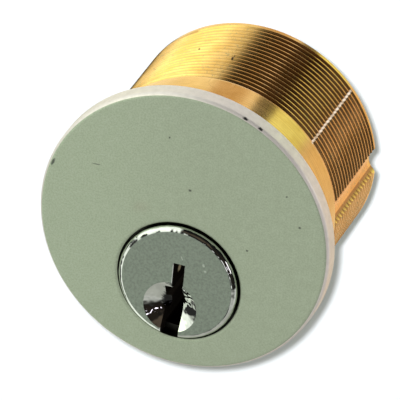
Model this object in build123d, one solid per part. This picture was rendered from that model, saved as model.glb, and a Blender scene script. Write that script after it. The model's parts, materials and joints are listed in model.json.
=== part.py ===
from build123d import *
import os
from math import cos, pi, radians, sin

# Mortise cylinder, millimetres. The thread axis is +Y and the key enters from -Y.
# The origin is on that axis, in the plane where the head's back face seats.

# Shell: one turned piece with the head, the threaded barrel and the plug bore
head_radius = 17.1
head_thickness = 2.2
head_edge_round = 0.55
barrel_radius = 14.605
barrel_length = 21.6
neck_length = 7.3
thread_allowance = 0.055
barrel_end_chamfer = 0.25

# Side grooves for the lock's set screw, one on each side of the thread
groove_radius = 1.8
groove_depth = 0.95
groove_angle = 5.0

# Plug, below the thread axis
plug_drop = 6.4
plug_radius = 6.35
plug_clearance = 0.05
plug_overhang = 0.1
flange_radius = 7.05
flange_proud = 0.6
flange_edge_round = 0.65
flange_gap = 0.2
flange_end_play = 0.05
face_hole_depth = 1.3
face_hole_round = 0.4

# Keyway section, measured from the plug axis
slot_left = -0.55
slot_right = 0.75
slot_top = 2.5
wide_left = -1.4
wide_top = -0.8
ward_left = -0.8
ward_top = -2.4
ward_bottom = -3.9

# Conical key recess in the plug face
recess_radius = 3.15
recess_depth = 1.8
recess_x = -0.5
recess_z = -3.2

# Pin stacks
pin_count = 5
first_pin_from_face = 5.75
last_pin_from_end = 3.51
chamber_wall = 0.81
chamber_clearance = 0.04
shear_gap = 0.035
shortest_pin = 4.2
cut_step = 0.381
key_cuts = (2, 5, 3, 6, 1)
tip_radius = 0.35
tip_height = 0.8
driver_length = 5.2
floor_spare = 0.35

# Chamber caps, pressed into the mouths of the pin holes
cap_thickness = 1.7
cap_clearance = 0.01

# Springs
spring_inset = 0.34
spring_wire = 0.22
spring_turns = 6
spring_facets = 7

# Cam and its two screws
cam_thickness = 2.4
cam_hub_radius = 7.0
cam_reach = 17.0
cam_tip_radius = 3.6
screw_offset = 4.2
screw_radius = 1.25
screw_grip = 5.0
screw_head_radius = 2.3
screw_head_height = 1.3
screw_slot_width = 0.6
screw_slot_depth = 0.7
screw_clearance = 0.15
thread_clearance = 0.02

# Derived places
face_y = -head_thickness
plug_z = -plug_drop
plug_front_y = face_y - flange_proud
plug_end_y = barrel_length + plug_overhang
flange_seat_y = face_y + face_hole_depth
face_hole_radius = flange_radius + flange_gap
bore_radius = plug_radius + plug_clearance
first_pin_y = plug_front_y + first_pin_from_face
pin_spacing = (plug_end_y - last_pin_from_end - first_pin_y) / (pin_count - 1)
pin_places = [first_pin_y + pin_spacing * n for n in range(pin_count)]
chamber_radius = (pin_spacing - chamber_wall) / 2
pin_radius = chamber_radius - chamber_clearance
cap_radius = chamber_radius - cap_clearance
spring_radius = pin_radius - spring_inset
chamber_top_z = barrel_radius + chamber_radius
shear_z = plug_z + plug_radius
pin_top_z = plug_z + (plug_radius**2 - pin_radius**2) ** 0.5
driver_base_z = shear_z + shear_gap
driver_top_z = driver_base_z + driver_length
cap_seat_z = barrel_radius - cap_thickness
pin_lengths = [shortest_pin + cut_step * cut for cut in key_cuts]
chamber_floor_z = pin_top_z - max(pin_lengths) - floor_spare


def rod(radius, start, end, x=0.0, z=0.0):
    """A cylinder along +Y between two places."""
    base = Cylinder(radius, end - start, align=(Align.CENTER, Align.CENTER, Align.MIN))
    return Pos(x, start, z) * Rot(-90, 0, 0) * base


def upright(radius, base_z, top_z, y):
    """A vertical cylinder on the plane of the pins."""
    base = Cylinder(radius, top_z - base_z, align=(Align.CENTER, Align.CENTER, Align.MIN))
    return Pos(0, y, base_z) * base


def turned(outline, z=0.0):
    """A piece turned about a line along +Y, from (radius, y) points."""
    points = [(radius, y, 0) for radius, y in outline]
    return Pos(0, 0, z) * revolve(make_face(Polyline(*points, close=True)), Axis.Y)


def rounded_edge(radius, y, size, side):
    """Three points round an edge that faces -Y: a rim's with side -1, the mouth of a hole with side 1."""
    corner = size * (1 - cos(radians(45)))
    return [(radius + side * size, y), (radius + side * corner, y + corner), (radius, y + size)]


def turned_upright(outline, y):
    """A vertical turned piece from (radius, height) points, standing at one pin place."""
    points = [(radius, 0, height) for radius, height in outline]
    section = make_face(Polyline(*points, close=True))
    return Pos(0, y, 0) * revolve(section, Axis.Z)


def shell_blank():
    """The turned outside of the shell: head, plain neck and the barrel over the thread's crests."""
    crest_radius = barrel_radius - thread_allowance
    outline = [
        (0, face_y),
        *rounded_edge(head_radius, face_y, head_edge_round, -1),
        (head_radius, 0),
        (barrel_radius, 0),
        (barrel_radius, neck_length),
        (crest_radius, neck_length),
        (crest_radius, barrel_length - barrel_end_chamfer),
        (crest_radius - barrel_end_chamfer, barrel_length),
        (0, barrel_length),
    ]
    return turned(outline)


def side_grooves():
    """The two lengthwise grooves, from the end of the plain neck to past the rear end."""
    centre = barrel_radius - groove_depth + groove_radius
    rise = centre * sin(radians(groove_angle))
    reach = centre * cos(radians(groove_angle))
    right = rod(groove_radius, neck_length, barrel_length + groove_radius, reach, rise)
    left = rod(groove_radius, neck_length, barrel_length + groove_radius, -reach, rise)
    return right + left


def face_hole():
    """The round opening for the plug's flange, with a rounded mouth."""
    before_y = face_y - face_hole_round
    outline = [
        (0, before_y),
        (face_hole_radius + face_hole_round, before_y),
        *rounded_edge(face_hole_radius, face_y, face_hole_round, 1),
        (face_hole_radius, flange_seat_y),
        (0, flange_seat_y),
    ]
    return turned(outline, plug_z)


def make_shell():
    shell = shell_blank() - side_grooves() - face_hole()
    shell -= rod(bore_radius, face_y, barrel_length + plug_overhang, 0, plug_z)
    for y in pin_places:
        shell -= upright(chamber_radius, plug_z, chamber_top_z, y)
    return shell


def keyway():
    """The keyway as a prism along +Y, open at the bottom of the plug."""
    low = -(flange_radius + recess_radius)
    section = [
        (slot_left, slot_top),
        (slot_right, slot_top),
        (slot_right, low),
        (wide_left, low),
        (wide_left, ward_bottom),
        (ward_left, ward_bottom),
        (ward_left, ward_top),
        (wide_left, ward_top),
        (wide_left, wide_top),
        (slot_left, wide_top),
    ]
    points = [(x, plug_front_y, plug_z + z) for x, z in section]
    return extrude(make_face(Polyline(*points, close=True)), plug_end_y - plug_front_y, dir=(0, 1, 0))


def key_recess():
    """The conical recess round the keyway's mouth, pointing into the plug."""
    cone = Cone(recess_radius, 0, recess_depth, align=(Align.CENTER, Align.CENTER, Align.MIN))
    return Pos(recess_x, plug_front_y, plug_z + recess_z) * Rot(-90, 0, 0) * cone


def plug_chamber(y):
    """One pin hole of the plug, with a floor as conical as the pin's tip."""
    outline = [
        (0, chamber_floor_z),
        (tip_radius + chamber_clearance, chamber_floor_z),
        (chamber_radius, chamber_floor_z + tip_height),
        (chamber_radius, shear_z + chamber_radius),
        (0, shear_z + chamber_radius),
    ]
    return turned_upright(outline, y)


def make_plug():
    flange_back_y = flange_seat_y - flange_end_play
    outline = [
        (0, plug_front_y),
        *rounded_edge(flange_radius, plug_front_y, flange_edge_round, -1),
        (flange_radius, flange_back_y),
        (plug_radius, flange_back_y),
        (plug_radius, plug_end_y),
        (0, plug_end_y),
    ]
    plug = turned(outline, plug_z) - keyway() - key_recess()
    for y in pin_places:
        plug -= plug_chamber(y)
    for side in (-1, 1):
        plug -= rod(
            screw_radius + thread_clearance,
            plug_end_y - screw_grip - screw_clearance,
            plug_end_y,
            side * screw_offset,
            plug_z,
        )
    return plug


def bottom_pin(length, y):
    """A pin with a pointed foot, its flat top just inside the plug's round."""
    foot_z = pin_top_z - length
    outline = [
        (0, foot_z),
        (tip_radius, foot_z),
        (pin_radius, foot_z + tip_height),
        (pin_radius, pin_top_z),
        (0, pin_top_z),
    ]
    return turned_upright(outline, y)


def driver_pin(y):
    """A plain pin standing just clear of the plug."""
    return upright(pin_radius, driver_base_z, driver_top_z, y)


def pin_spring():
    """A coil of square wire in short straight runs, its ends cut flat at the driver and the cap."""
    rise = (cap_seat_z - driver_top_z) / (spring_turns * spring_facets)
    points = []
    for step in range(spring_turns * spring_facets + 1):
        turn = 2 * pi * step / spring_facets
        z = driver_top_z + rise * step
        points.append((spring_radius * cos(turn), spring_radius * sin(turn), z))
    path = Polyline(*points)
    section_plane = Plane(origin=path @ 0, x_dir=(1, 0, 0), z_dir=path % 0)
    wire = section_plane * Rectangle(spring_wire, spring_wire)
    coil = sweep(wire, path=path, transition=Transition.RIGHT)
    return coil & upright(pin_radius, driver_top_z, cap_seat_z, 0)


def chamber_cap(y):
    """A round plug in the mouth of a pin hole, its top flush with the neck or the thread's crests."""
    return upright(cap_radius, cap_seat_z, chamber_top_z, y) & shell_blank()


def make_cam():
    """A flat plate: a hub over the plug's end and a tapered lobe pointing up."""
    tip_z = plug_z + cam_reach - cam_tip_radius
    hub = rod(cam_hub_radius, plug_end_y, plug_end_y + cam_thickness, 0, plug_z)
    tip = rod(cam_tip_radius, plug_end_y, plug_end_y + cam_thickness, 0, tip_z)
    lean = (cam_hub_radius - cam_tip_radius) / (tip_z - plug_z)
    level = (1 - lean**2) ** 0.5
    corners = []
    for radius, z in ((cam_hub_radius, plug_z), (cam_tip_radius, tip_z)):
        corners.append((radius * level, plug_end_y, z + radius * lean))
    corners += [(-x, y, z) for x, y, z in reversed(corners)]
    web = extrude(make_face(Polyline(*corners, close=True)), cam_thickness, dir=(0, 1, 0))
    cam = hub + tip + web
    for side in (-1, 1):
        hole = rod(
            screw_radius + screw_clearance,
            plug_end_y,
            plug_end_y + cam_thickness,
            side * screw_offset,
            plug_z,
        )
        cam -= hole
    return cam


def cam_screw(side):
    """A pan head screw with a straight slot, through the cam into the plug."""
    seat_y = plug_end_y + cam_thickness
    top_y = seat_y + screw_head_height
    x = side * screw_offset
    shank = rod(screw_radius, plug_end_y - screw_grip, seat_y + screw_head_height / 2, x, plug_z)
    head = rod(screw_head_radius, seat_y, top_y, x, plug_z)
    head = chamfer(head.edges().group_by(Axis.Y)[-1], screw_head_height / 2)
    slot = Box(2 * screw_head_radius, screw_slot_depth, screw_slot_width)
    return head + shank - Pos(x, top_y - screw_slot_depth / 2, plug_z) * slot


def save(shape, node):
    export_step(shape, f"parts/{node}.step")


os.makedirs("parts", exist_ok=True)
save(make_shell(), "shell")
save(make_plug(), "plug")
save(make_cam(), "cam")
save(Compound(children=[cam_screw(-1), cam_screw(1)]), "cam_screws")
spring = pin_spring()
for n, y in enumerate(pin_places):
    save(bottom_pin(pin_lengths[n], y), f"bottom_pin_{n + 1}")
    save(driver_pin(y), f"driver_pin_{n + 1}")
    save(Pos(0, y, 0) * spring, f"pin_spring_{n + 1}")
    save(chamber_cap(y), f"chamber_cap_{n + 1}")
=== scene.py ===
import bpy
import bmesh
import json
import math
import numpy as np
from mathutils import Matrix, Vector


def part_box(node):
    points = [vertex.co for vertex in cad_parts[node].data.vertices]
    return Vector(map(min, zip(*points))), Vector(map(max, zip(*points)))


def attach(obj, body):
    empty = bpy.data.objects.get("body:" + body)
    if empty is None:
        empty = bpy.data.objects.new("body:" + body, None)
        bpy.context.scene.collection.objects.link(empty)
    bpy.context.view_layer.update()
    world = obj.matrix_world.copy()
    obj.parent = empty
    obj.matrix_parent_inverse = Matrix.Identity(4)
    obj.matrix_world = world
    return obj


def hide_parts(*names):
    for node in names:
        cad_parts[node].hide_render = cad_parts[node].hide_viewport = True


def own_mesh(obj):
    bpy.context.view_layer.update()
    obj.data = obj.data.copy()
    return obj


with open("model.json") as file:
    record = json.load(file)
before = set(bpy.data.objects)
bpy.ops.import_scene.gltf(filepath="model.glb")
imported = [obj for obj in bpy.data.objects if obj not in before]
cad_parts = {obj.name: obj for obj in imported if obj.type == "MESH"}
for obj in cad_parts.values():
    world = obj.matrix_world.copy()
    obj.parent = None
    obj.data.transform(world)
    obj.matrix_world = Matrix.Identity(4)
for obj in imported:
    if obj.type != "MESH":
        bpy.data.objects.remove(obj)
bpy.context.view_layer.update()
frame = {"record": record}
bodyOf = {name: body for body, names in frame["record"]["behaviour"]["bodies"].items() for name in names}

mm = 0.001  # sizes are written in millimetres times this


def addObject(name, points, faces):
    # An object at the origin, with its place in its mesh.
    mesh = bpy.data.meshes.new(name)
    mesh.from_pydata(np.asarray(points, float).tolist(), [], faces)
    mesh.update()
    item = bpy.data.objects.new(name, mesh)
    bpy.context.scene.collection.objects.link(item)
    return item


def turned(name, outline, axis="Y", centre=(0, 0, 0), steps=192):
    # A turned solid: a point is (radius * sin a, height, radius * cos a) round +Y, or
    # (radius * cos a, radius * sin a, height) round +Z. The outline starts and ends on the axis.
    line = np.asarray(outline, float)
    angle = np.linspace(0, 2 * np.pi, steps, endpoint=False)
    radius, height = line[1:-1, :1], np.repeat(line[1:-1, 1:], steps, axis=1)
    flatA, flatB = radius * np.sin(angle), radius * np.cos(angle)
    if axis == "Y":
        rings = np.stack([flatA, height, flatB], axis=-1).reshape(-1, 3)
        poles = np.array([[0, line[0, 1], 0], [0, line[-1, 1], 0]])
    else:
        rings = np.stack([flatB, flatA, height], axis=-1).reshape(-1, 3)
        poles = np.array([[0, 0, line[0, 1]], [0, 0, line[-1, 1]]])
    points = np.concatenate([rings, poles]) + np.asarray(centre, float)
    near = np.arange(steps)
    after = (near + 1) % steps
    rows = (np.arange(len(line) - 3) * steps)[:, None]
    quads = np.stack([rows + near, rows + after, rows + steps + after, rows + steps + near], axis=-1)
    last = (len(line) - 3) * steps
    firstPole = len(rings)
    startFan = np.stack([after, near, np.full(steps, firstPole)], axis=-1)
    endFan = np.stack([last + near, last + after, np.full(steps, firstPole + 1)], axis=-1)
    faces = quads.reshape(-1, 4).tolist() + startFan.tolist() + endFan.tolist()
    return addObject(name, points, faces)


def roundedLine(corners, arcSteps=5):
    # Corners are (radius, height, rounding). Each rounding is an arc that touches both neighbouring
    # straight runs, its points being the arc's centre plus the rounding times a turning unit vector.
    line = []
    for n, (x, y, rounding) in enumerate(corners):
        here = np.array([x, y], float)
        if not rounding:
            line.append(here)
            continue
        back = np.array(corners[n - 1][:2]) - here
        ahead = np.array(corners[n + 1][:2]) - here
        back, ahead = back / np.linalg.norm(back), ahead / np.linalg.norm(ahead)
        half = math.acos(np.clip(back @ ahead, -1, 1)) / 2
        middle = (back + ahead) / np.linalg.norm(back + ahead)
        centre = here + middle * rounding / math.sin(half)
        start = here + back * rounding / math.tan(half) - centre
        end = here + ahead * rounding / math.tan(half) - centre
        share = np.linspace(0, 1, arcSteps + 1)[:, None]
        sweepAngle = math.pi - 2 * half
        arc = (np.sin((1 - share) * sweepAngle) * start
               + np.sin(share * sweepAngle) * end) / math.sin(sweepAngle)
        line.extend(centre + arc)
    return np.array(line)


def prism(name, sections):
    # A solid through several outlines with the same number of points. Each section is (outline of
    # (x, z) points, y); walls join neighbouring sections and the two end outlines close it.
    count = len(sections[0][0])
    points = np.concatenate([
        np.column_stack([flat[:, 0], np.full(count, y), flat[:, 1]]) for flat, y in sections])
    near = np.arange(count)
    after = (near + 1) % count
    rows = (np.arange(len(sections) - 1) * count)[:, None]
    walls = np.stack([rows + near, rows + near + count, rows + after + count, rows + after], axis=-1)
    ends = [near[::-1].tolist(), (near + (len(sections) - 1) * count).tolist()]
    item = addObject(name, points, walls.reshape(-1, 4).tolist() + ends)
    faceOut(item)
    return item


def faceOut(item):
    work = bmesh.new()
    work.from_mesh(item.data)
    bmesh.ops.recalc_face_normals(work, faces=work.faces)
    work.to_mesh(item.data)
    work.free()


def combine(item, tool, how):
    # Joins the tool to the item, cuts it out or keeps what they share, and removes the tool.
    step = item.modifiers.new("combine", "BOOLEAN")
    step.operation, step.solver, step.object = how, "MANIFOLD", tool
    graph = bpy.context.evaluated_depsgraph_get()
    mesh = bpy.data.meshes.new_from_object(item.evaluated_get(graph))
    item.modifiers.clear()
    item.data = mesh
    mesh.name = item.name
    bpy.data.objects.remove(tool)
    return item


def copyOf(item, name):
    other = item.copy()
    other.data = item.data.copy()
    other.name = name
    bpy.context.scene.collection.objects.link(other)
    return other


# The shell: a flat head, a plain neck and a threaded barrel with a groove on either side
shellSize = {
    "headRadius": 17.1 * mm, "headThickness": 2.2 * mm, "headEdgeRound": 0.55 * mm,
    "headBackRound": 0.12 * mm, "neckRadius": 14.605 * mm, "neckLength": 7.3 * mm,
    "neckRootRound": 0.12 * mm, "neckEndRound": 0.08 * mm,
    "crestRadius": 14.55 * mm, "barrelLength": 21.6 * mm, "endChamfer": 0.25 * mm, "boreChamfer": 0.12 * mm,
    "pitch": 25.4 / 32 * mm, "threadDepth": 0.46 * mm, "threadFade": 0.3 * mm, "threadEnd": 20.85 * mm,
    # The thread's section over one pitch: where its corners lie and how deep they are, as shares
    "cornerAt": (0, 0.02, 0.18, 0.21, 0.49, 0.53, 0.575, 0.62),
    "cornerDepth": (0.04, 0, 0, 0.04, 0.93, 1, 1, 0.93), "columns": 288, "hiddenTurns": 4,
    "grooveRadius": 1.8 * mm, "grooveReach": 15.455 * mm, "grooveAngle": 5.0,
    "holeRadius": 7.25 * mm, "holeDepth": 1.3 * mm, "holeRound": 0.4 * mm,
}


def threadRod(size):
    # A right-handed thread: with a the angle from +Z towards +X and k the row, height is
    # start + pitch * (turn of k + place of k in the section + a / full turn), and the radius is
    # the crest less the depth times the section. The last column joins the first one a pitch on.
    place, depth = np.array(size["cornerAt"]), np.array(size["cornerDepth"])
    perTurn, columns = len(place), size["columns"]
    start = size["neckLength"] - size["hiddenTurns"] * size["pitch"]
    turns = int((size["barrelLength"] - start) / size["pitch"]) + size["hiddenTurns"]
    rows = np.arange(turns * perTurn + 1)
    share = np.arange(columns) / columns
    height = start + size["pitch"] * (rows[:, None] // perTurn + place[rows % perTurn][:, None] + share)
    fade = np.clip(
        np.minimum(height - size["neckLength"], size["threadEnd"] - height) / size["threadFade"], 0, 1)
    fade = fade * fade * (3 - 2 * fade)
    radius = size["crestRadius"] - size["threadDepth"] * depth[rows % perTurn][:, None] * fade
    angle = 2 * np.pi * share
    grid = np.stack([radius * np.sin(angle), height, radius * np.cos(angle)], axis=-1).reshape(-1, 3)
    low, high = start - size["pitch"], height.max() + size["pitch"]
    points = np.concatenate([grid, [[0, low, 0], [0, high, 0]]])
    k, c = np.meshgrid(rows[:-1], np.arange(columns - 1), indexing="ij")
    here = (k * columns + c).ravel()
    inner = np.column_stack([here, here + 1, here + 1 + columns, here + columns])
    k = rows[: -1 - perTurn]
    left, right = k * columns + columns - 1, (k + perTurn) * columns
    seam = np.column_stack([left, right, right + columns, left + columns])
    top = rows[-1] * columns
    startLoop = np.concatenate([np.arange(columns), np.arange(perTurn, 0, -1) * columns])
    endLoop = np.concatenate([
        top + np.arange(columns), top + columns - 1 - np.arange(1, perTurn + 1) * columns])
    fans = []
    for loop, pole, flip in ((startLoop, len(grid), True), (endLoop, len(grid) + 1, False)):
        pair = [np.roll(loop, -1), loop] if flip else [loop, np.roll(loop, -1)]
        fans += np.column_stack(pair + [np.full(len(loop), pole)]).tolist()
    return addObject("threadRod", points, np.concatenate([inner, seam]).tolist() + fans)


def barrelStock(size):
    # The threaded barrel: the thread inside a turned envelope whose rear end is chamfered.
    rod = threadRod(size)
    clear = 0.3 * mm
    wide, end, cut = size["crestRadius"] + clear, size["barrelLength"], size["endChamfer"]
    front = size["neckLength"] - 1.5 * mm
    envelope = turned("envelope", [
        (0, front), (wide, front), (wide, end - cut - clear), (size["crestRadius"] - cut, end), (0, end)],
        steps=size["columns"])
    return combine(rod, envelope, "INTERSECT")


def headStock(size):
    # Head and plain neck in one turned piece.
    neckEnd = size["neckLength"]
    outline = roundedLine([
        (0, faceY, 0), (size["headRadius"], faceY, size["headEdgeRound"]),
        (size["headRadius"], 0, size["headBackRound"]), (size["neckRadius"], 0, size["neckRootRound"]),
        (size["neckRadius"], neckEnd, size["neckEndRound"]), (0, neckEnd, 0)], arcSteps=6)
    return turned("headStock", outline, steps=size["columns"])


def holeTool(size):
    # The face hole, its mouth flared by a quarter round of that radius.
    wide, rounding = size["holeRadius"] + size["holeRound"], size["holeRound"]
    a = np.linspace(math.pi / 2, 0, 9)
    flare = np.column_stack([wide - rounding * np.cos(a), faceY + rounding - rounding * np.sin(a)])
    seat = faceY + size["holeDepth"]
    outline = [(0, faceY - mm), (wide, faceY - mm), *flare, (size["holeRadius"], seat), (0, seat)]
    return turned("holeTool", outline, centre=(0, 0, plugZ))


def boreTool(size):
    # The plug's bore, a little wider at the rear end.
    bore, end = plugSize["radius"] + plugSize["clearance"], size["barrelLength"]
    mouth = bore + size["boreChamfer"]
    return turned("boreTool", [
        (0, faceY - mm), (bore, faceY - mm), (bore, end - size["boreChamfer"]), (mouth, end),
        (mouth, 30 * mm), (0, 30 * mm)], centre=(0, 0, plugZ))


def chamberTool(y, low, radius):
    # An upright cylinder that ends above the barrel.
    high = 20 * mm
    return turned("chamberTool", [(0, low), (radius, low), (radius, high), (0, high)],
                  "Z", (0, y, 0), steps=64)


def grooveTool(size, side):
    # A side groove: a cylinder along +Y whose centre lies just outside the barrel.
    lift = math.radians(size["grooveAngle"])
    centre = (side * size["grooveReach"] * math.cos(lift), 0, size["grooveReach"] * math.sin(lift))
    start, end = size["neckLength"], 25 * mm
    return turned("grooveTool", [
        (0, start), (size["grooveRadius"], start), (size["grooveRadius"], end), (0, end)],
        centre=centre, steps=96)


def buildShell(size):
    # Barrel and head joined. The chamber caps are the parts of that body that fill the chambers
    # down to their seat, so the thread runs over them; then bore, hole, grooves and chambers are cut.
    shell = combine(barrelStock(size), headStock(size), "UNION")
    shell.name = "shellBody"
    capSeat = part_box("chamber_cap_2")[0].z
    caps = []
    for n, y in enumerate(pinY):
        cap = copyOf(shell, f"chamberCap{n + 1}")
        caps.append(combine(cap, chamberTool(y, capSeat, stackSize["capRadius"]), "INTERSECT"))
    combine(shell, boreTool(size), "DIFFERENCE")
    combine(shell, holeTool(size), "DIFFERENCE")
    for side in (-1, 1):
        combine(shell, grooveTool(size, side), "DIFFERENCE")
    for y in pinY:
        combine(shell, chamberTool(y, plugZ, stackSize["chamberRadius"]), "DIFFERENCE")
    return shell, caps


# The plug: its face, the rounded flange, the key recess and the keyway
plugSize = {
    "drop": 6.4 * mm, "radius": 6.35 * mm, "clearance": 0.05 * mm, "overhang": 0.1 * mm,
    "rearRound": 0.1 * mm, "flangeRadius": 7.05 * mm, "flangeProud": 0.6 * mm,
    "edgeRound": 0.65 * mm, "collarRound": 0.05 * mm,
    "endPlay": 0.05 * mm, "recessRadius": 3.15 * mm, "recessDepth": 1.8 * mm, "recessX": -0.5 * mm,
    "recessZ": -3.2 * mm, "mouthChamfer": 0.06 * mm,
}
keywaySize = {
    "left": -0.55 * mm, "right": 0.75 * mm, "top": 2.5 * mm, "wideLeft": -1.4 * mm, "wideTop": -0.8 * mm,
    "wardLeft": -0.8 * mm, "wardTop": -2.4 * mm, "wardBottom": -3.9 * mm, "low": -10 * mm,
}


def keywayOutline(size, grow=0.0):
    # The keyway's section as (x, z) points; grow moves every wall outwards by that much.
    flat = np.array([
        (size["left"], size["top"]), (size["right"], size["top"]),
        (size["right"], size["low"]), (size["wideLeft"], size["low"]),
        (size["wideLeft"], size["wardBottom"]), (size["wardLeft"], size["wardBottom"]),
        (size["wardLeft"], size["wardTop"]), (size["wideLeft"], size["wardTop"]),
        (size["wideLeft"], size["wideTop"]), (size["left"], size["wideTop"])])
    ahead = np.roll(flat, -1, axis=0) - flat
    ahead /= np.linalg.norm(ahead, axis=1)[:, None]
    outward = np.column_stack([-ahead[:, 1], ahead[:, 0]])
    return flat + grow * (outward + np.roll(outward, 1, axis=0)) + np.array([0, plugZ])


def buildPlug(size):
    # A turned plug less the recess's cone, the keyway with its chamfered mouth, the pin holes,
    # whose floors taper as the pins' tips do, and the two screw holes.
    collar = faceY + shellSize["holeDepth"] - size["endPlay"]
    wide, narrow = size["flangeRadius"], size["radius"]
    plug = turned("plugBody", roundedLine([
        (0, plugFrontY, 0), (wide, plugFrontY, size["edgeRound"]), (wide, collar, size["collarRound"]),
        (narrow, collar, 0), (narrow, plugEndY, size["rearRound"]), (0, plugEndY, 0)],
        arcSteps=12), centre=(0, 0, plugZ))
    over = 0.5 * mm  # how far the cone starts in front of the face
    spread = size["recessRadius"] * (size["recessDepth"] + over) / size["recessDepth"]
    combine(plug, turned("recessTool", [
        (0, plugFrontY - over), (spread, plugFrontY - over), (0, plugFrontY + size["recessDepth"])],
        centre=(size["recessX"], 0, plugZ + size["recessZ"]), steps=128), "DIFFERENCE")
    plain, chamfer = keywayOutline(keywaySize), size["mouthChamfer"]
    combine(plug, prism("keywayTool", [(plain, plugFrontY - mm), (plain, plugEndY + mm)]), "DIFFERENCE")
    combine(plug, prism("mouthTool", [
        (keywayOutline(keywaySize, 2 * chamfer), plugFrontY - chamfer), (plain, plugFrontY + chamfer)]),
        "DIFFERENCE")
    lowestTip = min(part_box(f"bottom_pin_{n + 1}")[0].z for n in range(stackSize["count"]))
    floorZ, holeTop = lowestTip - stackSize["floorSpare"], 3 * mm
    for y in pinY:
        combine(plug, turned("pinHoleTool", [
            (0, floorZ), (stackSize["tipRadius"] + stackSize["tipSpare"], floorZ),
            (stackSize["chamberRadius"], floorZ + stackSize["tipHeight"]),
            (stackSize["chamberRadius"], holeTop), (0, holeTop)], "Z", (0, y, 0), steps=64), "DIFFERENCE")
    low, rear = plugEndY - camSize["screwGrip"] - camSize["gripSpare"], 30 * mm
    radius = camSize["screwRadius"] + camSize["screwFit"]
    for side in (-1, 1):
        combine(plug, turned("screwHoleTool", [(0, low), (radius, low), (radius, rear), (0, rear)],
                             centre=(side * camSize["screwOffset"], 0, plugZ), steps=48), "DIFFERENCE")
    return plug


# The pin stacks: bottom pin, driver pin, spring and chamber, five times
stackSize = {
    "count": 5, "chamberRadius": 1.5 * mm, "pinRadius": 1.46 * mm, "capRadius": 1.49 * mm,
    "tipRadius": 0.35 * mm, "tipHeight": 0.8 * mm, "tipSpare": 0.04 * mm, "floorSpare": 0.35 * mm,
    "edge": 0.08 * mm, "wire": 0.11 * mm, "coilRadius": 1.12 * mm, "coilTurns": 6, "closedTurns": 0.8,
    "openClimb": 0.88,
}


def buildPin(n):
    # A bottom pin: a cylinder with a blunt cone at its lower end.
    low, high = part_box(f"bottom_pin_{n + 1}")
    radius, edge = stackSize["pinRadius"], stackSize["edge"]
    outline = roundedLine([
        (0, low.z, 0), (stackSize["tipRadius"], low.z, edge),
        (radius, low.z + stackSize["tipHeight"], 3 * edge),
        (radius, high.z, edge), (0, high.z, 0)], arcSteps=4)
    return turned(f"bottomPin{n + 1}", outline, "Z", (0, pinY[n], 0), steps=72)


def buildDriver(n):
    # A driver pin: a cylinder with both edges rounded.
    low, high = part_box(f"driver_pin_{n + 1}")
    radius, edge = stackSize["pinRadius"], stackSize["edge"]
    outline = roundedLine([
        (0, low.z, 0), (radius, low.z, edge), (radius, high.z, edge), (0, high.z, 0)], arcSteps=4)
    return turned(f"driverPin{n + 1}", outline, "Z", (0, pinY[n], 0), steps=72)


def buildSpring(n, alongSteps=240, roundSteps=12):
    # A round wire on a helix: the wire's middle is (coil * cos a, coil * sin a, height), where the
    # height rises slowly over the first and last stretch, so that the ends lie closed, and by the
    # open climb's share between them. Round it go wire * (cos b * outward + sin b * upward).
    low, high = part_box(f"pin_spring_{n + 1}")
    wire, coil, turns = stackSize["wire"], stackSize["coilRadius"], stackSize["coilTurns"]
    t = np.linspace(0, 1, alongSteps)
    angle = 2 * np.pi * turns * t
    closed, openClimb = stackSize["closedTurns"] / turns, stackSize["openClimb"]
    ease = np.clip((t - closed * 0.5) / (1 - closed), 0, 1)
    climb = openClimb * ease + (1 - openClimb) * t
    height = low.z + wire + (high.z - low.z - 2 * wire) * climb
    middle = np.stack([coil * np.cos(angle), pinY[n] + coil * np.sin(angle), height], axis=-1)
    outward = np.stack([np.cos(angle), np.sin(angle), 0 * angle], axis=-1)
    forward = np.gradient(middle, axis=0)
    forward /= np.linalg.norm(forward, axis=1)[:, None]
    upward = np.cross(outward, forward)
    b = np.linspace(0, 2 * np.pi, roundSteps, endpoint=False)
    rings = middle[:, None] + wire * (
        np.cos(b)[:, None] * outward[:, None] + np.sin(b)[:, None] * upward[:, None])
    points = np.concatenate([rings.reshape(-1, 3), middle[[0, -1]]])
    near = np.arange(roundSteps)
    after = (near + 1) % roundSteps
    rows = (np.arange(alongSteps - 1) * roundSteps)[:, None]
    walls = np.stack([
        rows + near, rows + after, rows + roundSteps + after, rows + roundSteps + near], axis=-1)
    last, pole = (alongSteps - 1) * roundSteps, alongSteps * roundSteps
    ends = [[int(after[i]), int(near[i]), pole] for i in near]
    ends += [[int(last + near[i]), int(last + after[i]), pole + 1] for i in near]
    spring = addObject(f"pinSpring{n + 1}", points, walls.reshape(-1, 4).tolist() + ends)
    faceOut(spring)
    return spring


# The cam and its two screws, behind the plug
camSize = {
    "thickness": 2.4 * mm, "hubRadius": 7.0 * mm, "tipRadius": 3.6 * mm, "reach": 17.0 * mm,
    "edge": 0.22 * mm, "holeClearance": 0.15 * mm, "screwOffset": 4.2 * mm,
    "screwRadius": 1.25 * mm, "screwFit": 0.02 * mm,
    "screwGrip": 5.0 * mm, "gripSpare": 0.15 * mm, "screwPoint": 0.3 * mm,
    "headRadius": 2.3 * mm, "headHeight": 1.3 * mm, "crown": 0.65 * mm,
    "slotWidth": 0.6 * mm, "slotDepth": 0.7 * mm,
}


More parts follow.
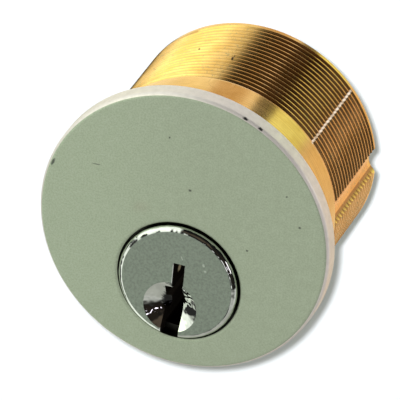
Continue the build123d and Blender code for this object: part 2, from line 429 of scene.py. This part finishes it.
def camOutline(size, inset, arcSteps=48):
    # Two arcs joined by tangents, both smaller by inset: a point is the arc's centre plus its radius
    # times (sin a, cos a), with a running round from one tangent to the other.
    rise = size["reach"] - size["tipRadius"]
    lean = math.asin((size["hubRadius"] - size["tipRadius"]) / rise)
    tip = np.linspace(-math.pi / 2 + lean, math.pi / 2 - lean, arcSteps)
    hub = np.linspace(math.pi / 2 - lean, 3 * math.pi / 2 + lean, 2 * arcSteps)
    upper = (np.column_stack([np.sin(tip), np.cos(tip)]) * (size["tipRadius"] - inset)
             + np.array([0, plugZ + rise]))
    lower = (np.column_stack([np.sin(hub), np.cos(hub)]) * (size["hubRadius"] - inset)
             + np.array([0, plugZ]))
    return np.concatenate([upper, lower])


def buildCam(size):
    # The outline carried through the thickness, its edges rounded: at the angle a the outline is
    # inset by edge * (1 - sin a) and lies edge * (1 - cos a) inside its end face.
    edge, rear = size["edge"], plugEndY + size["thickness"]
    turn = np.linspace(0, math.pi / 2, 5)
    front = [(camOutline(size, edge * (1 - math.sin(a))), plugEndY + edge * (1 - math.cos(a))) for a in turn]
    back = [(camOutline(size, edge * (1 - math.sin(a))), rear - edge * (1 - math.cos(a))) for a in turn[::-1]]
    cam = prism("camPlate", front + back)
    hole, past = size["screwRadius"] + size["holeClearance"], 40 * mm
    for side in (-1, 1):
        combine(cam, turned("camHoleTool", [(0, 0), (hole, 0), (hole, past), (0, past)],
                            centre=(side * size["screwOffset"], 0, plugZ), steps=64), "DIFFERENCE")
    return cam


def buildScrews(size):
    # Two turned screws with a crowned head, each with a slot cut across it.
    seat = plugEndY + size["thickness"]
    top, tip = seat + size["headHeight"], plugEndY - size["screwGrip"]
    crown, half, long = size["crown"], size["slotWidth"] / 2, 3 * mm
    pieces = []
    for side in (-1, 1):
        x = side * size["screwOffset"]
        outline = roundedLine([
            (0, tip, 0), (size["screwRadius"], tip, size["screwPoint"]),
            (size["screwRadius"], seat, 0), (size["headRadius"], seat, 0.08 * mm),
            (size["headRadius"], top - crown, 0.25 * mm), (size["headRadius"] - crown, top, 0.5 * mm),
            (0, top, 0)], arcSteps=6)
        screw = turned(f"screw{side}", outline, centre=(x, 0, plugZ), steps=72)
        slot = np.array([(x - long, -half), (x + long, -half), (x + long, half), (x - long, half)])
        slot = slot + np.array([0, plugZ])
        combine(screw, prism("slotTool", [(slot, top - size["slotDepth"]), (slot, top + mm)]), "DIFFERENCE")
        pieces.append(screw)
    both = combine(pieces[0], pieces[1], "UNION")
    both.name = "camScrews"
    return both


# Places that several pieces share
plugZ = -plugSize["drop"]
faceY = -shellSize["headThickness"]
plugFrontY = faceY - plugSize["flangeProud"]
plugEndY = shellSize["barrelLength"] + plugSize["overhang"]
pinY = [sum(corner.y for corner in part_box(f"bottom_pin_{n + 1}")) / 2 for n in range(stackSize["count"])]

shellBody, capPieces = buildShell(shellSize)
print("shell built:", len(shellBody.data.polygons), "faces")
plugBody = buildPlug(plugSize)
print("plug built:", len(plugBody.data.polygons), "faces")
pinPieces = [buildPin(n) for n in range(stackSize["count"])]
driverPieces = [buildDriver(n) for n in range(stackSize["count"])]
springPieces = [buildSpring(n) for n in range(stackSize["count"])]
print("pin stacks built")
camPlate = buildCam(camSize)
camScrews = buildScrews(camSize)
print("cam and screws built")


def startMaterial(name):
    material = bpy.data.materials.new(name)
    material.use_nodes = True
    tree = material.node_tree
    tree.nodes.clear()
    shader = tree.nodes.new("ShaderNodeBsdfPrincipled")
    out = tree.nodes.new("ShaderNodeOutputMaterial")
    tree.links.new(shader.outputs[0], out.inputs[0])
    return material, tree, shader


def feed(tree, socket, value):
    # A link where the value is another node's socket, otherwise the value itself.
    if isinstance(value, bpy.types.NodeSocket):
        tree.links.new(value, socket)
    else:
        socket.default_value = value


def node(tree, kind, settings=(), **inputs):
    # Inputs are named as in Blender, or i0, i1, ... by their place.
    made = tree.nodes.new("ShaderNode" + kind)
    for key, value in dict(settings).items():
        setattr(made, key, value)
    for key, value in inputs.items():
        byPlace = key[0] == "i" and key[1:].isdigit()
        feed(tree, made.inputs[int(key[1:]) if byPlace else key], value)
    return made.outputs[0]


def maths(tree, operation, a, b=0.0):
    return node(tree, "Math", {"operation": operation}, i0=a, i1=b)


def blendColour(tree, factor, a, b, kind="MIX"):
    made = tree.nodes.new("ShaderNodeMix")
    made.data_type, made.blend_type = "RGBA", kind
    for index, value in ((0, factor), (6, a), (7, b)):
        feed(tree, made.inputs[index], value)
    return made.outputs[2]


def ramp(tree, value, low, high, outLow=0.0, outHigh=1.0):
    # A smooth step from outLow at low to outHigh at high.
    made = tree.nodes.new("ShaderNodeMapRange")
    made.interpolation_type = "SMOOTHSTEP"
    for index, number in enumerate((value, low, high, outLow, outHigh)):
        feed(tree, made.inputs[index], number)
    return made.outputs[0]


def noise(tree, where, scale, detail=3.0, roughness=0.5):
    return node(tree, "TexNoise", {}, Vector=where, Scale=scale, Detail=detail, Roughness=roughness)


def places(tree):
    # Object coordinates in millimetres, with their parts and the distance from the Y axis.
    spot = tree.nodes.new("ShaderNodeTexCoord").outputs["Object"]
    scaled = node(tree, "VectorMath", {"operation": "MULTIPLY"}, i0=spot, i1=(1000, 1000, 1000))
    split = tree.nodes.new("ShaderNodeSeparateXYZ")
    tree.links.new(scaled, split.inputs[0])
    x, y, z = split.outputs
    radius = maths(tree, "SQRT", maths(
        tree, "ADD", maths(tree, "MULTIPLY", x, x), maths(tree, "MULTIPLY", z, z)))
    return scaled, x, y, z, radius


def bump(tree, shader, height, strength, distance=0.02 * mm):
    made = tree.nodes.new("ShaderNodeBump")
    made.inputs["Strength"].default_value = strength
    made.inputs["Distance"].default_value = distance
    tree.links.new(height, made.inputs["Height"])
    tree.links.new(made.outputs[0], shader.inputs["Normal"])


def markMask(tree, where, markAndPaintedLight, blur):
    # An oval with a ragged edge: the distance from its centre over its half sizes, plus noise.
    x, y, z, length, depth, width, turn = markAndPaintedLight
    shifted = node(tree, "VectorMath", {"operation": "SUBTRACT"}, i0=where, i1=(x, y, z))
    swung = node(tree, "VectorRotate", {"rotation_type": "Y_AXIS"}, Vector=shifted, Angle=math.radians(turn))
    sized = node(tree, "VectorMath", {"operation": "MULTIPLY"},
                 i0=swung, i1=(2 / length, 2 / depth, 2 / width))
    far = tree.nodes.new("ShaderNodeVectorMath")
    far.operation = "LENGTH"
    tree.links.new(sized, far.inputs[0])
    ragged = maths(tree, "ADD", far.outputs["Value"],
                   maths(tree, "MULTIPLY", noise(tree, where, 6.0, 3), 0.8))
    return ramp(tree, ragged, 1.5, 1.5 - blur)


def addMarks(tree, where, colour, marks, paint, amount=1.0, blur=0.6):
    for markAndPaintedLight in marks:
        mask = maths(tree, "MULTIPLY", markMask(tree, where, markAndPaintedLight, blur), amount)
        colour = blendColour(tree, mask, colour, paint)
    return colour


# All marks, stains, painted shades and painted glints: centre x, y, z, then length, depth and width in
# millimetres, and the turn about Y in degrees
headLook = {
    # pale to deep is painted shade, darker from left to right between the two x in millimetres
    "pale": (0.368, 0.430, 0.315, 1), "deep": (0.334, 0.384, 0.285, 1), "paintedShadeFrom": -14, "paintedShadeTo": 4,
    "bloom": (0.45, 0.50, 0.40, 1), "bloomShare": 0.25, "bloomScale": 0.9,
    "grain": (0.22, 0.25, 0.18, 1), "grainShare": 0.42, "grainScale": 5.0,
    "metallic": 0.45, "roughFrom": 0.50, "roughTo": 0.60, "roughScale": 1.6,
    "pebble": 0.12, "pebbleScale": 14.0,
    # hole: painted shade for the wall inside the face hole
    # rim: the turned rim's colour, painted lighter than the face as a highlight
    "rim": (0.73, 0.68, 0.64, 1), "rimRoughness": 0.45, "rimMetallic": 0.6, "hole": (0.06, 0.06, 0.05, 1),
    # The near-black mark colour paints real marks on the head and the painted shades on the plug's polished
    # edge
    "stain": (0.30, 0.27, 0.20, 1), "stainShare": 0.3, "markAndPaintedLight": (0.03, 0.03, 0.03, 1), "markShare": 0.8,
    "stains": [(-5.2, -2.2, 1.8, 3.2, 2, 2.2, 30), (-12.4, -2.2, 12.2, 3.0, 2, 1.2, 42)],
    "rimMarks": [(-15.90, -2.1, 4.62, 1.20, 1.0, 0.40, 72), (5.75, -2.1, 16.02, 0.80, 0.9, 0.30, -20),
                 (7.62, -2.1, 15.22, 0.80, 0.9, 0.34, -27)],
    "faceMarks": [(-10.80, -2.2, 5.72, 1.30, 1, 0.12, 4), (-2.64, -2.2, 11.39, 0.34, 1, 0.22, 60),
                  (0.32, -2.2, 5.44, 0.42, 1, 0.36, 0), (11.50, -2.2, 7.76, 0.34, 1, 0.22, 45),
                  (13.36, -2.2, 4.31, 0.40, 1, 0.30, 0), (7.60, -2.2, -0.26, 0.34, 1, 0.28, 0)],
}


def satinHead(look):
    # Greenish satin with painted shade that darkens it from left to right, with a cloudy bloom, a fine grain
    # and marks.
    material, tree, shader = startMaterial("satin plated head")
    spot, x = places(tree)[:2]
    colour = blendColour(tree, ramp(tree, x, look["paintedShadeFrom"], look["paintedShadeTo"]), look["pale"], look["deep"])
    clouds = ramp(tree, noise(tree, spot, look["bloomScale"], 4, 0.6), 0.35, 0.75, 0.0, look["bloomShare"])
    colour = blendColour(tree, clouds, colour, look["bloom"])
    grain = ramp(tree, noise(tree, spot, look["grainScale"], 3, 0.7), 0.35, 0.65, 0.0, look["grainShare"])
    colour = blendColour(tree, grain, colour, look["grain"])
    colour = addMarks(tree, spot, colour, look["stains"], look["stain"], look["stainShare"], 1.4)
    colour = addMarks(tree, spot, colour, look["rimMarks"] + look["faceMarks"],
                      look["markAndPaintedLight"], look["markShare"])
    tree.links.new(colour, shader.inputs["Base Color"])
    shader.inputs["Metallic"].default_value = look["metallic"]
    rough = ramp(tree, noise(tree, spot, look["roughScale"], 3), 0.3, 0.7, look["roughFrom"], look["roughTo"])
    tree.links.new(rough, shader.inputs["Roughness"])
    bump(tree, shader, noise(tree, spot, look["pebbleScale"], 3, 0.7), look["pebble"])
    return material


brassLook = {
    "light": (0.84, 0.52, 0.18, 1), "deep": (0.72, 0.42, 0.12, 1), "broadScale": 0.35, "roughness": 0.16,
    "lineStretch": (0.5, 9.0), "lineBump": 0.15,  # lines for each radian round Y and millimetre along it
    "tarnish": (0.20, 0.14, 0.05, 1), "tarnishShare": 0.35,
    # groove is painted shade, multiplying the colour down in the thread where shade falls
    "groove": (0.50, 0.45, 0.38, 1),  # multiplies the colour down in the thread
    # The thread's right side gets a painted warmer reflection, set by x in millimetres
    "paintedRightCast": (1.0, 0.88, 0.88, 1), "paintedRightCastFrom": -2, "paintedRightCastTo": 6,  # multiplies the thread's right side
    # The neck's right side gets painted shade, set by x in millimetres
    "dull": (0.82, 0.85, 0.82, 1), "neckShadeFrom": 3, "neckShadeTo": 10,  # multiplies the neck's right side
    "dulled": 0.11, "dulledFrom": 6.0, "dulledTo": 9.5,  # how far the thread's right side has lost its shine
    "speck": (0.45, 0.33, 0.14, 1), "speckShare": 0.7, "speckScale": 2.6, "pit": (0.10, 0.06, 0.03, 1),
    # A painted highlight streak along the thread, its angle and width in degrees
    "paintedHighlight": (1.0, 0.86, 0.70, 1), "paintedHighlightAt": 41.3, "paintedHighlightWidth": 0.75,  # degrees, from +X
    "pits": [(-0.94, 13.0, 14.45, 0.30, 1.5, 1.0, 0), (-5.64, 14.9, 13.3, 0.4, 0.6, 1.0, 0),
             (-4.6, 9.2, 13.8, 0.5, 0.5, 1.0, 0), (-7.5, 11.6, 12.4, 0.4, 0.5, 1.0, 0),
             (-8.6, 17.0, 11.7, 0.5, 0.5, 1.0, 0)],
}


def turnedBrass(look):
    # Brass with turning lines round Y, which are noise stretched along the angle.
    material, tree, shader = startMaterial("turned brass")
    spot, x, y, z, radius = places(tree)
    crest, neckEnd = shellSize["crestRadius"] / mm, shellSize["neckLength"] / mm
    threadEnd = shellSize["threadEnd"] / mm + 0.05
    around = maths(tree, "ARCTAN2", x, z)
    stretch = look["lineStretch"]
    unrolled = node(tree, "CombineXYZ", {}, X=maths(tree, "MULTIPLY", around, stretch[0]),
                    Y=maths(tree, "MULTIPLY", y, stretch[1]))
    lines = noise(tree, unrolled, 1.0, 3, 0.6)
    broad = ramp(tree, noise(tree, spot, look["broadScale"], 4, 0.6), 0.35, 0.7)
    colour = blendColour(tree, broad, look["light"], look["deep"])
    colour = blendColour(tree, ramp(tree, lines, 0.45, 0.8, 0.0, look["tarnishShare"]),
                         colour, look["tarnish"])
    onOutside = ramp(tree, radius, crest - 0.65, crest - 0.60)
    # Painted shade down in the thread's grooves.
    grooveShade = maths(tree, "MULTIPLY", ramp(tree, radius, crest - 0.05, crest - 0.40), onOutside)
    colour = blendColour(tree, grooveShade, colour, look["groove"], "MULTIPLY")
    onThread = maths(tree, "MULTIPLY", ramp(tree, y, neckEnd - 0.1, neckEnd + 0.1),
                     ramp(tree, y, threadEnd + 0.1, threadEnd - 0.1))
    # A painted warmer reflection on the thread's right side.
    paintedRightCast = maths(tree, "MULTIPLY", onThread, ramp(tree, x, look["paintedRightCastFrom"], look["paintedRightCastTo"]))
    colour = blendColour(tree, paintedRightCast, colour, look["paintedRightCast"], "MULTIPLY")
    specks = ramp(tree, noise(tree, spot, look["speckScale"], 2, 0.6), 0.56, 0.70, 0.0, look["speckShare"])
    colour = blendColour(tree, maths(tree, "MULTIPLY", specks, onThread), colour, look["speck"])
    colour = addMarks(tree, spot, colour, look["pits"], look["pit"])
    # Painted shade on the neck's right side.
    shadedNeck = maths(tree, "MULTIPLY", ramp(tree, y, neckEnd + 0.05, neckEnd - 0.1),
                   ramp(tree, x, look["neckShadeFrom"], look["neckShadeTo"]))
    colour = blendColour(tree, maths(tree, "MULTIPLY", shadedNeck, onOutside), colour, look["dull"], "MULTIPLY")
    # A painted highlight: a pale streak along the thread's crests where a light's reflection runs.
    off = maths(tree, "ABSOLUTE", maths(tree, "SUBTRACT", around, math.radians(90 - look["paintedHighlightAt"])))
    wide = math.radians(look["paintedHighlightWidth"])
    paintedHighlight = maths(tree, "MULTIPLY", ramp(tree, off, wide, 0.5 * wide), onThread)
    paintedHighlight = maths(tree, "MULTIPLY", paintedHighlight, ramp(tree, radius, crest - 0.55, crest - 0.10))
    paintedHighlight = maths(tree, "MULTIPLY", paintedHighlight, ramp(tree, noise(tree, spot, 1.4, 2), 0.3, 0.6, 0.4, 1.0))
    colour = blendColour(tree, paintedHighlight, colour, look["paintedHighlight"])
    tree.links.new(colour, shader.inputs["Base Color"])
    dulled = maths(tree, "MULTIPLY", onThread, ramp(tree, x, look["dulledFrom"], look["dulledTo"]))
    dulled = maths(tree, "MULTIPLY", dulled, look["dulled"])
    dulled = maths(tree, "MAXIMUM", dulled, maths(tree, "MULTIPLY", paintedHighlight, 0.9))
    tree.links.new(maths(tree, "SUBTRACT", 1.0, dulled), shader.inputs["Metallic"])
    rough = ramp(tree, lines, 0.3, 0.8, look["roughness"] - 0.04, look["roughness"] + 0.08)
    tree.links.new(rough, shader.inputs["Roughness"])
    bump(tree, shader, lines, look["lineBump"])
    return material


# The default paint is the near-black mark colour; on the polished nickel it paints shade.
def plainMetal(name, colour, roughness, grainScale=6.0, contrast=0.3, relief=0.001 * mm, metallic=1.0,
               marks=(), paint=headLook["markAndPaintedLight"], detail=4.0, shine=0.5):
    # One metal with a grain of noise that darkens it by the contrast, roughens it and raises it.
    material, tree, shader = startMaterial(name)
    spot = places(tree)[0]
    grain = noise(tree, spot, grainScale, detail, 0.65)
    dark = tuple((1 - contrast) * part for part in colour[:3]) + (1,)
    seen = blendColour(tree, ramp(tree, grain, 0.3, 0.75), colour, dark)
    tree.links.new(addMarks(tree, spot, seen, marks, paint), shader.inputs["Base Color"])
    shader.inputs["Metallic"].default_value = metallic
    shader.inputs["Specular IOR Level"].default_value = shine
    tree.links.new(ramp(tree, grain, 0.2, 0.8, 0.8 * roughness, 1.2 * roughness), shader.inputs["Roughness"])
    bump(tree, shader, grain, 1.0, relief)
    return material


headFinish = satinHead(headLook)
# The turned rim: smoother than the face, and its base colour painted much lighter as a painted highlight
rimHighlightFinish = plainMetal("turned plated rim with painted highlight", headLook["rim"], headLook["rimRoughness"], grainScale=1.5,
                       contrast=0.08, relief=0.0004 * mm, metallic=headLook["rimMetallic"],
                       marks=headLook["rimMarks"])
# Painted shade on the wall inside the face hole, where the gap round the plug lies in shadow
holeShadeFinish = plainMetal("painted shade inside the face hole", headLook["hole"], 0.4, grainScale=3.0)
brassFinish = turnedBrass(brassLook)

plugLook = {
    "face": (0.210, 0.248, 0.200, 1), "faceRoughness": 0.40, "faceMetallic": 0.4, "faceContrast": 0.32,
    "scratch": (0.34, 0.38, 0.32, 1),
    "scratches": [(0.33, -2.8, -2.95, 0.7, 1, 0.14, -60), (3.18, -2.8, -3.91, 0.4, 1, 0.3, 0),
                  (2.94, -2.8, -3.24, 0.3, 1, 0.5, 20)],
    "edge": (0.74, 0.77, 0.72, 1), "edgeRoughness": 0.05, "edgeWaves": 0.10 * mm,
    # Painted shades: near black in the recess's shadowed ward, and dark reflections on the flange's upper
    # left
    "paintedShades": [(-1.15, -1.6, -9.45, 1.6, 6, 3.2, 0), (-5.45, -2.5, -2.75, 1.9, 3, 0.60, 56),
               (-4.3, -2.5, -1.45, 1.3, 3, 0.50, 41)],
    # The keyway and the plug's hidden walls are painted near black as shade, with a painted glint on the
    # keyway's left wall
    "keyway": (0.010, 0.008, 0.006, 1), "keywayShine": 0.08,
    "glint": (0.55, 0.46, 0.28, 1), "glints": [(-0.55, -0.4, -5.60, 1.0, 1.3, 1.1, 0)],
}
plugFaceFinish = plainMetal("satin nickel plug face", plugLook["face"], plugLook["faceRoughness"],
                            grainScale=3.5, contrast=plugLook["faceContrast"], relief=0.002 * mm,
                            metallic=plugLook["faceMetallic"], marks=plugLook["scratches"],
                            paint=plugLook["scratch"])
# Polished nickel with painted shades.
plugEdgeFinish = plainMetal("polished nickel", plugLook["edge"], plugLook["edgeRoughness"], grainScale=0.9,
                            contrast=0.15, relief=plugLook["edgeWaves"], marks=plugLook["paintedShades"], detail=1.0)
# Painted shade in the keyway, with a painted glint.
keywayFinish = plainMetal("plug brass in the keyway", plugLook["keyway"], 0.5, grainScale=4.0, metallic=0.0,
                          marks=plugLook["glints"], paint=plugLook["glint"], shine=plugLook["keywayShine"])

stackLook = {"pin": (0.78, 0.55, 0.24, 1), "driver": (0.66, 0.64, 0.57, 1), "wire": (0.55, 0.56, 0.56, 1)}
pinFinish = plainMetal("pin brass", stackLook["pin"], 0.22)
driverFinish = plainMetal("nickel silver", stackLook["driver"], 0.22)
wireFinish = plainMetal("spring wire", stackLook["wire"], 0.25)

camLook = {"plate": (0.76, 0.56, 0.27, 1), "screws": (0.62, 0.64, 0.66, 1)}
camFinish = plainMetal("stamped cam brass", camLook["plate"], 0.30)
screwFinish = plainMetal("zinc plated steel", camLook["screws"], 0.25)
print("materials made")


def tidySurface(item, angle=30):
    # Smooth shading with crisp corners; the weighted normals keep large flats flat.
    item.data.shade_smooth()
    item.data.set_sharp_from_angle(angle=math.radians(angle))
    finishStep = item.modifiers.new("normals", "WEIGHTED_NORMAL")
    finishStep.keep_sharp = True
    finishStep.weight = 60


def dress(item, nodes, materials):
    # Hangs a finished piece on its body in place of the CAD nodes, with the given materials.
    item.data.materials.clear()
    for material in materials:
        item.data.materials.append(material)
    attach(item, bodyOf[nodes[0]])
    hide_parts(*nodes)


def faceArrays(item):
    count = len(item.data.polygons)
    centre, normal = np.empty(count * 3), np.empty(count * 3)
    item.data.polygons.foreach_get("center", centre)
    item.data.polygons.foreach_get("normal", normal)
    return centre.reshape(-1, 3), normal.reshape(-1, 3)


def setFinish(item, index):
    item.data.polygons.foreach_set("material_index", index.astype(np.int32))
    item.data.update()


def dressShell(size):
    tidySurface(shellBody)
    dress(shellBody, ["shell"], [headFinish, brassFinish, rimHighlightFinish, holeShadeFinish])
    centre = faceArrays(shellBody)[0]
    away = np.hypot(centre[:, 0], centre[:, 2])
    fromPlug = np.hypot(centre[:, 0], centre[:, 2] - plugZ)
    seat = faceY + size["holeDepth"] + 0.01 * mm
    head = (centre[:, 1] < 0.001 * mm) & ((away > size["neckRadius"]) | (centre[:, 1] < seat))
    # The rounded rim takes the rim finish, painted lighter as a highlight.
    outside = head & (away > size["headRadius"] - 0.6 * size["headEdgeRound"])
    # Inside the face hole, below its rounding, the wall takes the painted shade.
    inside = (head & (fromPlug < size["holeRadius"] + 0.08 * mm)
              & (centre[:, 1] > faceY + 0.5 * size["holeRound"]))
    setFinish(shellBody, np.select([inside, outside, head], [3, 2, 0], 1))
    for n, cap in enumerate(capPieces):
        tidySurface(cap)
        dress(cap, [f"chamber_cap_{n + 1}"], [brassFinish])


def dressPlug(size):
    tidySurface(plugBody, 18)
    dress(plugBody, ["plug"], [plugFaceFinish, plugEdgeFinish, keywayFinish])
    centre, normal = faceArrays(plugBody)
    away = np.hypot(centre[:, 0], centre[:, 2] - plugZ)
    flat = (centre[:, 1] < plugFrontY + 0.005 * mm) & (normal[:, 1] < -0.99)
    cone = (centre[:, 1] < plugFrontY + size["recessDepth"]) & (normal[:, 1] < -0.5)
    recess = cone & ~flat & (away < size["flangeRadius"] - 0.6 * mm)
    collar = faceY + shellSize["holeDepth"]
    rim = (away > size["flangeRadius"] - size["edgeRound"] - 0.01 * mm) & (centre[:, 1] < collar) & ~flat
    # Plug faces that are neither the face, the rim nor the recess take the keyway's painted shade.
    setFinish(plugBody, np.where(flat, 0, np.where(rim | recess, 1, 2)))


def dressStack(n):
    # The bottom pin rides on the plug's side of the shear line, driver and spring on the shell's.
    for piece, family, finish in (
            (pinPieces[n], "bottom_pin", pinFinish), (driverPieces[n], "driver_pin", driverFinish),
            (springPieces[n], "pin_spring", wireFinish)):
        tidySurface(piece, 35)
        dress(piece, [f"{family}_{n + 1}"], [finish])
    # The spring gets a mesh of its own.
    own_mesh(springPieces[n])


dressShell(shellSize)
dressPlug(plugSize)
for n in range(stackSize["count"]):
    dressStack(n)
tidySurface(camPlate)
dress(camPlate, ["cam"], [camFinish])
tidySurface(camScrews)
dress(camScrews, ["cam_screws"], [screwFinish])
print("pieces dressed")


cameraSet = {
    "azimuth": 17.144, "elevation": 30.024, "roll": 5.778, "distance": 896.9 * mm,
    "aim": (-1.218 * mm, 6.874 * mm, -0.909 * mm), "lens": 720.1,
}


def addCamera(place):
    # The camera stands at aim + back * distance, where back points from the part to the camera;
    # the roll then turns it about back.
    turn, tilt, roll = (math.radians(place[key]) for key in ("azimuth", "elevation", "roll"))
    back = Vector((math.sin(turn) * math.cos(tilt), -math.cos(turn) * math.cos(tilt), math.sin(tilt)))
    levelRight = Vector((math.cos(turn), math.sin(turn), 0))
    levelUp = back.cross(levelRight)
    right = math.cos(roll) * levelRight + math.sin(roll) * levelUp
    up = -math.sin(roll) * levelRight + math.cos(roll) * levelUp
    camera = bpy.data.objects.new("camera", bpy.data.cameras.new("camera"))
    bpy.context.scene.collection.objects.link(camera)
    camera.data.lens, camera.data.sensor_width = place["lens"], 36
    camera.data.clip_start, camera.data.clip_end = 0.05, 20
    turnTo = Matrix((right, up, back)).transposed()
    camera.matrix_world = (
        Matrix.Translation(Vector(place["aim"]) + back * place["distance"]) @ turnTo.to_4x4())
    bpy.context.scene.camera = camera


studio = {
    # A white board behind the part, facing forwards, right and up, and a small lamp in front
    "boardFacing": (0.2552, -0.8273, 0.5004), "boardBehind": 60 * mm, "boardHalf": 90 * mm,
    "boardColour": (0.80, 0.83, 0.88, 1),
    "lampAt": (216 * mm, -735 * mm, 454 * mm), "lampWatts": 32, "lampRadius": 6.5 * mm,
    "white": (1, 1, 1, 1), "dim": (0.01, 0.01, 0.01, 1),
    # One patch of the room: towards, inner and outer angle in degrees, brightness
    "patches": [
        ("dark room in front and above", (0.45, -0.60, 0.66), 66, 84, (0.01, 0.01, 0.01)),
        ("floor", (0.00, 0.00, -1.00), 35, 75, (0.50, 0.50, 0.46)),
        ("dark floor in front", (-0.24, -0.84, -0.48), 14, 26, (0.08, 0.08, 0.08)),
        ("back wall", (-0.15, 0.90, 0.35), 22, 36, (1.15, 1.15, 1.15)),
        ("light side, all that lies left", (-1.00, 0.00, 0.00), 67, 77, (1.20, 1.25, 1.15)),
        ("grey low left", (-0.86, 0.00, -0.50), 18, 30, (0.48, 0.50, 0.45)),
        ("bright back corner", (-0.60, 0.78, 0.10), 14, 26, (1.20, 1.20, 0.95)),
        ("strong light front left", (-0.70, -0.62, 0.36), 14, 24, (2.10, 2.30, 1.80)),
        ("dark strip on the left", (-0.98, -0.14, -0.10), 8, 13, (0.04, 0.04, 0.04)),
        ("dark low behind left", (-0.34, 0.80, -0.52), 10, 23, (0.15, 0.13, 0.11)),
        ("dim above in front", (0.05, -0.86, 0.50), 10, 26, (0.10, 0.075, 0.055)),
        ("dull front right", (0.66, -0.72, 0.10), 12, 30, (0.022, 0.017, 0.013)),
        ("low behind right", (0.36, 0.83, -0.30), 26, 34, (1.10, 0.90, 0.64)),
        ("bright behind right", (0.38, 0.83, 0.40), 9, 14, (1.15, 1.35, 0.80)),
        ("dim gold behind", (-0.16, 0.83, 0.53), 5, 12, (0.72, 0.58, 0.42)),
        ("dark bar behind", (0.17, 0.83, 0.535), 4, 7, (0.10, 0.10, 0.08)),
        ("small light low in front", (0.16, -0.95, -0.26), 4, 9, (1.20, 1.20, 1.20)),
        ("dark low front left", (-0.79, -0.26, -0.56), 9, 15, (0.03, 0.03, 0.03)),
        ("slit of light in front", (0.562, -0.828, -0.029), 1.6, 3.0, (2.80, 2.50, 3.00)),
        ("small light front right", (0.87, -0.42, 0.17), 7, 10, (1.90, 1.80, 1.90)),
        ("small light on the right", (0.88, 0.30, 0.25), 9, 16, (2.20, 2.10, 2.00)),
    ],
}


def addBoard(room):
    # A square that stands square to its facing; from behind it is clear.
    facing = Vector(room["boardFacing"]).normalized()
    across = Vector((0, 0, 1)).cross(facing).normalized()
    along = facing.cross(across)
    half = room["boardHalf"]
    corners = [-facing * room["boardBehind"] + across * i * half + along * j * half
               for i, j in ((-1, -1), (1, -1), (1, 1), (-1, 1))]
    board = addObject("board", corners, [[0, 1, 2, 3]])
    material = bpy.data.materials.new("board")
    material.use_nodes = True
    tree = material.node_tree
    tree.nodes.clear()
    paint = node(tree, "BsdfDiffuse", {}, Color=room["boardColour"])
    clear = node(tree, "BsdfTransparent")
    behind = tree.nodes.new("ShaderNodeNewGeometry").outputs["Backfacing"]
    out = tree.nodes.new("ShaderNodeOutputMaterial")
    tree.links.new(node(tree, "MixShader", {}, i0=behind, i1=paint, i2=clear), out.inputs[0])
    board.data.materials.append(material)
    board.visible_glossy = False


def addLamp(room):
    data = bpy.data.lights.new("front lamp", "POINT")
    data.energy, data.shadow_soft_size = room["lampWatts"], room["lampRadius"]
    lamp = bpy.data.objects.new("front lamp", data)
    lamp.location = room["lampAt"]
    bpy.context.scene.collection.objects.link(lamp)
    lamp.visible_glossy = False


def addSurroundings(room):
    # The camera sees plain white. Metal sees the same white with the patches in front of it, and
    # to all else the room is dim between them. A patch is a smooth step in the cosine of the
    # angle between the ray and the patch's middle.
    world = bpy.data.worlds.new("studio")
    bpy.context.scene.world = world
    world.use_nodes = True
    tree = world.node_tree
    tree.nodes.clear()
    direction = tree.nodes.new("ShaderNodeTexCoord").outputs["Generated"]
    ray = tree.nodes.new("ShaderNodeLightPath").outputs
    seen = blendColour(tree, ray["Is Glossy Ray"], room["dim"], room["white"])
    for label, towards, inner, outer, colour in room["patches"]:
        made = tree.nodes.new("ShaderNodeVectorMath")
        made.operation, made.label = "DOT_PRODUCT", label
        tree.links.new(direction, made.inputs[0])
        made.inputs[1].default_value = Vector(towards).normalized()
        inside = ramp(tree, made.outputs["Value"],
                      math.cos(math.radians(outer)), math.cos(math.radians(inner)))
        seen = blendColour(tree, inside, seen, colour + (1,))
    straight = maths(tree, "MAXIMUM", ray["Is Camera Ray"], ray["Is Transmission Ray"])
    background = tree.nodes.new("ShaderNodeBackground")
    tree.links.new(blendColour(tree, straight, seen, room["white"]), background.inputs["Color"])
    out = tree.nodes.new("ShaderNodeOutputWorld")
    tree.links.new(background.outputs[0], out.inputs[0])


addCamera(cameraSet)
addBoard(studio)
addLamp(studio)
addSurroundings(studio)
bpy.context.scene.view_settings.view_transform = "Standard"
print("studio set")
